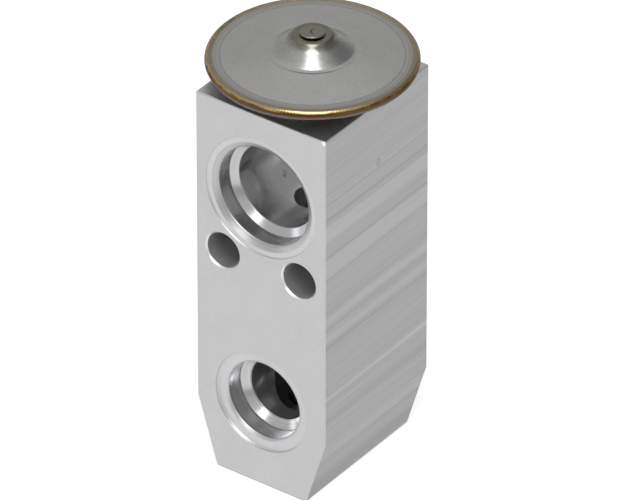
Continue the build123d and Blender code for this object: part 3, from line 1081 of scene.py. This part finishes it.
@dataclass
class Head:
    """The welded head: two pressed covers, the bead, the plug and the neck, with the diaphragm inside.

    The weld's wander and swell are each a number of marks in a millimetre and a strength.
    """

    sheet: float = 0.75
    bend: float = 0.9
    cover_radius: float = 18.35
    flange_radius: float = 16.3
    rim_top: float = 82.80
    diaphragm_bottom: float = 81.90
    dome_base: float = 84.10
    dome_foot_radius: float = 7.35
    dome_groove: float = 0.07
    dome_groove_width: float = 0.5
    groove_bend: float = 0.5
    foot_bend: float = 0.7
    waist_radius: float = 4.35
    waist_height: float = 1.95
    waist_bend: float = 2.4
    collar_radius: float = 3.6
    dome_hole: float = 1.65
    lower_floor: float = 79.70
    pan_radius: float = 12.2
    pan_slope: float = 1.1
    pan_hole_gap: float = 0.05
    weld_lap: float = 0.55
    weld_crown_inset: float = 0.25
    weld_height: float = 0.15
    weld_segments: int = 720
    weld_ripples: int = 210
    weld_ripple_height: float = 0.025
    weld_ripple_tilt: float = 0.02
    weld_wander: Point = (0.35, 3.0)
    weld_swell: Point = (0.9, 1.5)
    plug_shank: float = 1.6
    plug_head: float = 2.36
    plug_lean: float = 0.12
    plug_lean_way: float = 36.0
    plug_edge: float = 0.3
    plug_rim_bend: float = 0.06
    plug_crown_bend: float = 0.15
    plug_dish: float = 0.02
    neck_radius: float = 9.55
    neck_bore: float = 7.55
    neck_spigot: float = 8.55
    neck_flange: float = 12.0
    neck_seat: float = 78.05
    neck_edge: float = 0.3
    neck_flange_edge: float = 0.1
    neck_thread_end: float = 1.6
    wave_count: int = 2
    wave_start: float = 10.7
    wave_width: float = 1.2
    wave_height: float = 0.25
    foil: float = 0.15

    def lid(self) -> None:
        """The upper cover: flange, gently rising lid and the flared dome with its collar."""
        top = Span("upper_cover").high
        foot, base = self.dome_foot_radius, self.dome_base
        upper_side = rounded(
            (self.dome_hole, top),
            (self.collar_radius, top, self.bend),
            (self.waist_radius, base + self.waist_height, self.waist_bend),
            (foot, base + self.dome_groove, self.foot_bend),
            (foot + self.dome_groove_width, base - self.dome_groove, SOFT_BEND),
            (foot + 2 * self.dome_groove_width, base - self.dome_groove / 2, self.groove_bend),
            (self.flange_radius, self.rim_top, self.bend),
            (self.cover_radius, self.rim_top),
            steps=10,
        )
        piece = turned("head_lid", thickened(upper_side, self.sheet), COVER)
        seated(piece, Body.BLOCK, "cover_steel", "upper_cover")

    def pan(self) -> None:
        """The lower cover: a shallow pan round the neck's spigot."""
        rise = self.diaphragm_bottom - self.lower_floor
        upper_side = rounded(
            (self.neck_spigot + self.pan_hole_gap, self.lower_floor),
            (self.pan_radius, self.lower_floor, self.bend),
            (self.pan_radius + self.pan_slope * rise, self.diaphragm_bottom, self.bend),
            (self.cover_radius, self.diaphragm_bottom),
            steps=8,
        )
        piece = turned("head_pan", thickened(upper_side, self.sheet), PAN)
        seated(piece, Body.BLOCK, "cover_steel", "lower_cover")

    def weld(self) -> None:
        """The bead round both covers' edges, rippled by the torch's steps."""
        span = Span("rim_weld")
        lap, crown = self.cover_radius - self.weld_lap, self.cover_radius - self.weld_crown_inset
        rim_bottom = span.low + self.weld_height
        outline = (
            (lap, self.rim_top),
            *arc((crown, span.middle), (span.radius - crown, span.half_height), pi / 2, -pi / 2, 20),
            (lap, rim_bottom),
            (self.cover_radius, rim_bottom),
            (self.cover_radius, self.rim_top),
        )
        bead = turned("weld_bead", outline, WELD, segments=self.weld_segments)
        tree = Modelling("weld_ripples", count=self.weld_ripples, height=self.weld_ripple_height * MM)
        place = tree.node("GeometryNodeInputPosition")
        x, y, z = tree.parts(place)
        turn = tree.math("ARCTAN2", y, x) + (z - span.middle * MM) * (self.weld_ripple_tilt / MM)
        scale, size = self.weld_wander
        wander = tree.noise(place, scale / MM).swing(size)
        ripple = abs(tree.math("SINE", turn * tree.given("count") / 2 + wander)) - 1
        scale, size = self.weld_swell
        swell = (tree.noise(place, scale / MM) - 1) * size
        keep = 1 + (ripple + swell) * tree.given("height") / tree.radius(x, y)
        keep = tree.math("MINIMUM", keep, 1.0)
        tree.run(bead, tree.moved(tree.given("Geometry"), tree.point(x * keep, y * keep, z)), WELD)
        seated(bead, Body.BLOCK, "weld_tint", "rim_weld")

    def plug(self) -> None:
        """The charge plug, whose undercut head stands in the collar and leans a little."""
        span = Span("charge_plug")
        seat = Span("upper_cover").high
        outline = rounded(
            (0, span.low),
            (self.plug_shank, span.low),
            (self.plug_shank, seat, FINE_BEND),
            (self.plug_head, seat + self.plug_edge, self.plug_rim_bend),
            (self.plug_head - self.plug_edge / 2, span.high, self.plug_crown_bend),
            (0, span.high - self.plug_dish),
        )
        piece = turned("fill_plug", outline, PLUG)
        way, rise = direction(self.plug_lean_way, 0), (span.high - seat) * MM
        for vert in piece.data.vertices:
            if vert.co.z > seat * MM:
                fall = self.plug_lean * (self.plug_head * MM - vert.co.dot(way))
                vert.co.z -= (vert.co.z - seat * MM) * fall / rise
        seated(piece, Body.BLOCK, "plug_steel", "charge_plug")

    def neck(self) -> None:
        """The threaded neck with its flange and the spigot for the lower cover."""
        span = Span("head_neck")
        low, high = self.neck_seat, self.lower_floor - self.sheet
        edge = self.neck_flange_edge
        outline = (
            (self.neck_bore, span.low),
            (self.neck_radius - self.neck_edge, span.low),
            *thread_rings(self.neck_radius, span.low + self.neck_edge, low),
            (self.neck_radius, low),
            (self.neck_flange - edge, low),
            (self.neck_flange, low + edge),
            (self.neck_flange, high - edge),
            (self.neck_flange - edge, high),
            (self.neck_spigot, high),
            (self.neck_spigot, span.high),
            (self.neck_bore, span.high),
        )
        piece = turned("head_neck_threaded", outline, TURNED_STEEL)
        threaded(piece, TURNED_STEEL, self.neck_radius, span.low, low - self.neck_thread_end)
        seated(piece, Body.BLOCK, "turned_steel", "head_neck")

    def membrane(self) -> None:
        """The diaphragm with its ring waves."""
        flat = self.diaphragm_bottom + self.foil
        waves = [
            (self.wave_start + step / 2 * self.wave_width, flat + step % 2 * self.wave_height, SOFT_BEND)
            for step in range(2 * self.wave_count + 1)
        ]
        upper_side = rounded((0, flat), *waves, (Span("diaphragm").radius, flat), steps=4)
        piece = turned("waved_diaphragm", thickened(upper_side, self.foil), FOIL)
        seated(piece, Body.BLOCK, "diaphragm_steel", "diaphragm")

    def build(self) -> None:
        """Builds the head's pieces and seats them."""
        self.lid()
        self.pan()
        self.weld()
        self.plug()
        self.neck()
        self.membrane()
        seal_ring("head_ring", Body.BLOCK, "head_seal_ring")


@dataclass
class ValveTrain:
    """What moves under the diaphragm: the stopper, rod, ball, carrier and springs, with the rod's seal."""

    edge: float = 0.3
    fit: float = 0.05
    rod_socket: float = 1.15
    rod_socket_depth: float = 4.5
    boss: float = 4.6
    boss_bend: float = 0.2
    stopper_sheet: float = 1.25
    carrier_hub: float = 2.7
    carrier_spigot: float = 3.0
    carrier_flange: float = 1.2
    strip: float = 0.25
    leg_width: float = 2.4
    leg_drop: float = 3.4
    leg_bend: float = 0.9
    leg_count: int = 4
    wire: float = 0.5
    wire_segments: int = 20
    coil: float = 3.5
    coil_steps: int = 480
    end_pitch: float = 1.05
    active_turns: int = 4
    retainer_sheet: float = 0.35
    retainer_hole: float = 1.4
    finger_count: int = 6
    slot_width: float = 0.5
    slot_length: float = 1.11
    slot_overlap: float = 0.5

    def stopper(self) -> None:
        """The stopper under the diaphragm."""
        span = Span("diaphragm_stopper")
        socket_top = span.low + self.rod_socket_depth
        disc = span.high - self.stopper_sheet
        outline = rounded(
            (0, socket_top),
            (self.rod_socket, socket_top),
            (self.rod_socket, span.low, SMALL_BEND),
            (self.boss, span.low, SOFT_BEND),
            (self.boss, disc, self.boss_bend),
            (span.radius, disc, FINE_BEND),
            (span.radius, span.high, SOFT_BEND),
            (0, span.high),
        )
        piece = turned("stopper_disc", outline, TURNED_DISC)
        seated(piece, Body.STEM, "stopper_aluminium", "diaphragm_stopper")

    def rod(self) -> None:
        """The operating rod."""
        span = Span("operating_rod")
        outline = rounded(
            (0, span.low),
            (span.radius - self.edge, span.low, SMALL_BEND),
            (span.radius, span.low + self.edge, SMALL_BEND),
            (span.radius, span.high - self.edge, SMALL_BEND),
            (span.radius - self.edge, span.high, SMALL_BEND),
            (0, span.high),
        )
        piece = turned("valve_rod", outline, ROD, segments=SMALL_SEGMENTS)
        seated(piece, Body.STEM, "rod_steel", "operating_rod")

    def ball(self) -> None:
        """The ball."""
        span = Span("valve_ball")
        half_turn = arc((0.0, span.middle), (span.radius, span.radius), -pi / 2, pi / 2, 48)
        outline = ((0, span.low), *half_turn[1:-1], (0, span.high))
        seated(turned("ball", outline, BALL, segments=SMALL_SEGMENTS), Body.STEM, "ball_steel", "valve_ball")

    def carrier(self) -> None:
        """The ball's carrier, with its cup, hub, flange and spigot."""
        span, ball = Span("ball_carrier"), Span("valve_ball")
        low = span.low + self.carrier_spigot
        cup_apex = ball.middle - sqrt(2) * ball.radius
        outline = rounded(
            (0, span.low),
            (self.carrier_hub, span.low, SOFT_BEND),
            (self.carrier_hub, low, SMALL_BEND),
            (span.radius, low, SMALL_BEND),
            (span.radius, low + self.carrier_flange, SMALL_BEND),
            (self.carrier_hub, low + self.carrier_flange, FINE_BEND),
            (self.carrier_hub, span.high, SMALL_BEND),
            (span.high - cup_apex, span.high, FINE_BEND),
            (0, cup_apex),
        )
        piece = turned("ball_cup", outline, TURNED_STEEL, segments=128)
        seated(piece, Body.STEM, "turned_steel", "ball_carrier")

    def damper(self) -> None:
        """The damping spring: a flat ring with legs that rub on the chamber's wall."""
        span, carrier = Span("damping_spring"), Span("ball_carrier")
        seat = span.high - self.strip
        half_width = self.leg_width / 2
        leg_reach = sqrt((Block.chamber - self.fit) ** 2 - half_width**2)
        ring = turned(
            "damping_ring", tube(self.carrier_hub + self.fit, carrier.radius, seat, span.high), SPRING
        )
        path = rounded(
            (carrier.radius - self.strip, span.high),
            (leg_reach, span.high, self.leg_bend),
            (leg_reach, seat - self.leg_drop),
            steps=8,
        )
        bm, *sides = section_ends(thickened(path, self.strip), half_width)
        for side in sides:
            for index in range(len(path) - 1):
                bm.faces.new((side[index], side[index + 1], side[-2 - index], side[-1 - index]))
        join_ends(bm, *sides)
        legs = ringed(from_mesh("legs", bm, SPRING), SPRING, self.leg_count, pi / self.leg_count)
        seated(joined("damping_legs", ring, legs), Body.STEM, "spring_steel", "damping_spring")

    def spring(self) -> None:
        """The valve spring: closed turns at both ends and open turns between."""
        span = Span("valve_spring")
        start, end = span.low + self.wire, span.high - self.wire
        open_pitch = (end - start - 2 * self.end_pitch) / self.active_turns
        sizes = {
            "coil": self.coil, "wire": self.wire, "start": start,
            "end_pitch": self.end_pitch, "open_pitch": open_pitch,
        }
        tree = Modelling(
            "coil", turns=float(self.active_turns + 2), **{name: size * MM for name, size in sizes.items()}
        )
        coil, turns = tree.given("coil"), tree.given("turns")
        line = tree.node("GeometryNodeCurvePrimitiveLine", {}, {"End": (0.0, 0.0, 1.0)})
        path = tree.node("GeometryNodeResampleCurve", {}, {"Curve": line, "Count": self.coil_steps})
        turn = tree.node("GeometryNodeSplineParameter") * turns
        first = tree.math("MINIMUM", turn, 1.0)
        last = tree.math("MAXIMUM", turn - (turns - 1), 0.0)
        rise = (first + last) * tree.given("end_pitch") + (turn - first - last) * tree.given("open_pitch")
        angle = turn * (2 * pi)
        place = tree.point(
            tree.math("COSINE", angle) * coil, tree.math("SINE", angle) * coil, rise + tree.given("start")
        )
        circle = {"Resolution": self.wire_segments, "Radius": tree.given("wire")}
        wire = tree.node("GeometryNodeCurvePrimitiveCircle", {}, circle)
        swept = {"Curve": tree.moved(path, place), "Profile Curve": wire, "Fill Caps": True}
        piece = from_mesh("coil_spring", bmesh.new())
        smoothed(tree.run(piece, tree.node("GeometryNodeCurveToMesh", {}, swept), SPRING))
        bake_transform(piece)
        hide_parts("valve_spring")
        LOG.info("%s: %d faces between the bodies", piece.name, len(piece.data.polygons))

    def retainer(self) -> None:
        """The push-on washer with its fingers, over the rod's seal."""
        span = Span("seal_retainer")
        rim = span.radius - self.retainer_sheet
        outline = (
            (span.radius, span.low),
            (span.radius, span.low + self.retainer_sheet),
            (rim, span.low + self.retainer_sheet),
            (self.retainer_hole, span.high),
            (self.retainer_hole, span.high - self.retainer_sheet),
            (rim, span.low),
        )
        dish = turned("rod_retainer", outline, SPRING)
        near, far = self.retainer_hole - self.slot_overlap, self.retainer_hole + self.slot_length
        half = self.slot_width / 2
        bm = bmesh.new()
        bmesh.ops.create_cube(bm, size=1.0)
        for vert in bm.verts:
            x = far if vert.co.x > 0 else near
            y = half if vert.co.y > 0 else -half
            z = span.high + CUT_PAST if vert.co.z > 0 else span.low - CUT_PAST
            vert.co = (x * MM, y * MM, z * MM)
        slots = ringed(from_mesh("slots", bm, SPRING), SPRING, self.finger_count, 0.0)
        seated(cut(dish, [slots]), Body.BLOCK, "spring_steel", "seal_retainer")

    def build(self) -> None:
        """Builds the train's pieces and seats them."""
        self.stopper()
        self.rod()
        self.ball()
        self.carrier()
        self.damper()
        self.spring()
        seal_ring("rod_ring", Body.BLOCK, "rod_seal_ring", segments=SMALL_SEGMENTS)
        self.retainer()


@dataclass
class Adjuster:
    """The adjusting screw in the block's foot, with its ring."""

    edge: float = 0.3
    nose_edge: float = 0.1
    shoulder: float = 6.2
    nose: float = 6.65
    cup: float = 4.3
    cup_floor: float = 5.4
    groove: float = 5.25
    groove_half: float = 0.75
    groove_level: float = 9.3
    socket_flats: float = 7.0
    socket_depth: float = 3.2

    def build(self) -> None:
        """Builds the screw and its ring and seats them."""
        span = Span("adjusting_screw")
        shoulder = self.shoulder - self.edge
        groove_low, groove_high = self.groove_level - self.groove_half, self.groove_level + self.groove_half
        outline = (
            (0, span.low),
            (span.radius - self.edge, span.low),
            *thread_rings(span.radius, span.low + self.edge, shoulder),
            (span.radius, shoulder),
            (span.radius - self.edge, self.shoulder),
            (self.nose, self.shoulder),
            (self.nose, groove_low),
            (self.groove, groove_low),
            (self.groove, groove_high),
            (self.nose, groove_high),
            (self.nose, span.high - self.nose_edge),
            (self.nose - self.nose_edge, span.high),
            (self.cup, span.high),
            (self.cup, self.cup_floor),
            (0, self.cup_floor),
        )
        screw = turned("adjusting_plug", outline, TURNED_STEEL)
        threaded(screw, TURNED_STEEL, span.radius, span.low, self.shoulder)
        corner = self.socket_flats / sqrt(3)
        hexagon = tube(0, corner, span.low - CUT_PAST, span.low + self.socket_depth)
        socket = turned("socket", hexagon, TURNED_STEEL, segments=6)
        seated(cut(screw, [socket]), Body.ADJUSTER, "turned_steel", "adjusting_screw")
        seal_ring("plug_ring", Body.RING, "screw_seal_ring")


def placed(thing: Piece, aim: Vector, way: Point, distance: float) -> None:
    """Puts a lamp or a camera away from the aim, by azimuth and elevation, and points it there."""
    away = direction(*way)
    thing.location = aim + away * distance
    thing.rotation_euler = away.to_track_quat("Z", "Y").to_euler()


@dataclass
class Studio:
    """The camera, one soft oval lamp, the white room that the metal mirrors, and the floor.

    The room's parts are ways from the valve: an azimuth and an elevation, or a cosine with one.
    Each of the windows is an azimuth, an elevation, how far it reaches in degrees and how bright it is.
    """

    camera_way: Point = (36.1, 33.87)
    distance: float = 1.9332
    aim_level: float = 0.04166
    sensor: float = 36.0
    lens: float = 630.0
    clip_end: float = 20.0
    floor_size: float = 6.0
    floor_grey: float = 0.8
    floor_glow: float = 0.55
    fill: float = 0.42
    wall: float = 0.55
    ceiling: float = 0.72
    ceiling_edge: Point = (0.50, 0.85)
    dark_wall: float = 0.26
    dark_wall_way: Point = (142.0, 18.0)
    dark_wall_edge: Point = (0.55, 0.92)
    horizon: Point = (-0.02, 0.02)
    lit_ground: float = 0.95
    shaded_ground: float = 0.51
    shade_way: Point = (205.0, 0.0)
    shade_edge: Point = (0.22, 0.38)
    camera_side: float = 0.34
    camera_side_way: Point = (22.0, 0.0)
    camera_side_edge: Point = (0.78, 0.88)
    far_ground: Point = (-0.25, -0.20)
    windows: tuple[tuple[float, ...], ...] = ((356.0, 16.0, 9.0, 4.0), (301.0, 5.0, 7.0, 1.3))
    lamp_way: Point = (33.0, 58.0)
    lamp_distance: float = 1.3
    lamp_size: Point = (0.8, 1.6)
    lamp_power: float = 10.0

    def camera(self, aim: Vector) -> None:
        """Adds the camera at the photograph's viewing angle."""
        data = bpy.data.cameras.new("camera")
        data.sensor_width = self.sensor
        data.lens = self.lens
        data.clip_end = self.clip_end
        camera = linked("camera", data)
        placed(camera, aim, self.camera_way, self.distance)
        bpy.context.scene.camera = camera

    def lamp(self, aim: Vector) -> None:
        """Adds the lamp over the camera."""
        data = bpy.data.lights.new("key", "AREA")
        data.shape = "ELLIPSE"
        data.size, data.size_y = self.lamp_size
        data.energy = self.lamp_power
        placed(linked("key", data), aim, self.lamp_way, self.lamp_distance)

    @staticmethod
    def towards(tree: Tree, way: Value, place: Point, edge: Point) -> Value:
        """How near the way that the metal mirrors comes to a place in the room."""
        near = tree.vector("DOT_PRODUCT", way, direction(*place), output="Value")
        return tree.rise(near, *edge)

    def wall_light(self, tree: Tree, way: Value, level: Value) -> Value:
        """How bright the room's walls look in the metal: grey, with a dark side and two small windows."""
        plain = self.wall + tree.rise(level, *self.ceiling_edge) * (self.ceiling - self.wall)
        share = self.towards(tree, way, self.dark_wall_way, self.dark_wall_edge)
        light = plain + share * (self.dark_wall - plain)
        for azimuth, elevation, reach, bright in self.windows:
            edge = (cos(radians(reach)), cos(radians(0.4 * reach)))
            light = light + self.towards(tree, way, (azimuth, elevation), edge) * bright
        return light

    def ground_light(self, tree: Tree, way: Value, level: Value) -> Value:
        """How bright the ground looks in the metal: lit in front, shaded behind and at its far edge ahead."""
        behind = self.towards(tree, way, self.shade_way, self.shade_edge)
        near = self.lit_ground + behind * (self.shaded_ground - self.lit_ground)
        ahead = self.towards(tree, way, self.camera_side_way, self.camera_side_edge)
        return near + tree.rise(level, *self.far_ground) * ahead * (self.camera_side - near)

    def world(self) -> None:
        """White for the camera, a graded room for reflections and a plain fill for the rest."""
        world = bpy.data.worlds.new("room")
        world.use_nodes = True
        bpy.context.scene.world = world
        tree = Tree(world.node_tree)
        way = tree.node("ShaderNodeTexCoord", output="Generated")
        level = tree.parts(way)[2]
        path = tree.node("ShaderNodeLightPath", output="Is Camera Ray")
        white = tree.math("MAXIMUM", path, path.output("Is Transmission Ray"))
        ground = self.ground_light(tree, way, level)
        above = tree.rise(level, *self.horizon)
        room = ground + above * (self.wall_light(tree, way, level) - ground)
        light = self.fill + path.output("Is Glossy Ray") * (room - self.fill)
        light = light + white * (1 - light)
        inputs = {"Color": (1.0, 1.0, 1.0, 1.0), "Strength": light}
        tree.end("ShaderNodeOutputWorld", "Surface", tree.node("ShaderNodeBackground", {}, inputs))

    def floor(self) -> None:
        """The pale floor, which keeps the shadow; the metal and a view from below see the room instead."""
        bm = bmesh.new()
        bmesh.ops.create_grid(bm, x_segments=1, y_segments=1, size=self.floor_size / 2)
        piece = from_mesh("floor", bm)
        s = Shader("pale_floor")
        grey = (self.floor_grey, self.floor_grey, self.floor_grey, 1.0)
        diffuse = s.node("ShaderNodeBsdfDiffuse", {}, {"Color": grey})
        path = s.node("ShaderNodeLightPath", output="Is Camera Ray")
        lit = s.node("ShaderNodeEmission", {}, {"Strength": path * self.floor_glow})
        seen = s.node("ShaderNodeAddShader", {}, {0: diffuse, 1: lit})
        mirrored = s.math("MAXIMUM", path.output("Is Glossy Ray"), path.output("Is Transmission Ray"))
        below = s.node("ShaderNodeNewGeometry", output="Backfacing")
        ends = {0: s.math("MAXIMUM", below, mirrored), 1: seen, 2: s.node("ShaderNodeBsdfTransparent")}
        piece.data.materials.append(s.finished(s.node("ShaderNodeMixShader", {}, ends)))

    def build(self) -> None:
        """Builds the studio."""
        aim = Vector((0, 0, self.aim_level))
        self.camera(aim)
        self.world()
        self.floor()
        self.lamp(aim)
        bpy.context.scene.view_settings.view_transform = "Standard"


def main() -> None:
    """Builds the studio and the dressed valve."""
    logging.basicConfig(level=logging.INFO, format="%(message)s")
    Studio().build()
    Block().build()
    Head().build()
    ValveTrain().build()
    Adjuster().build()


if __name__ == "__main__":
    main()
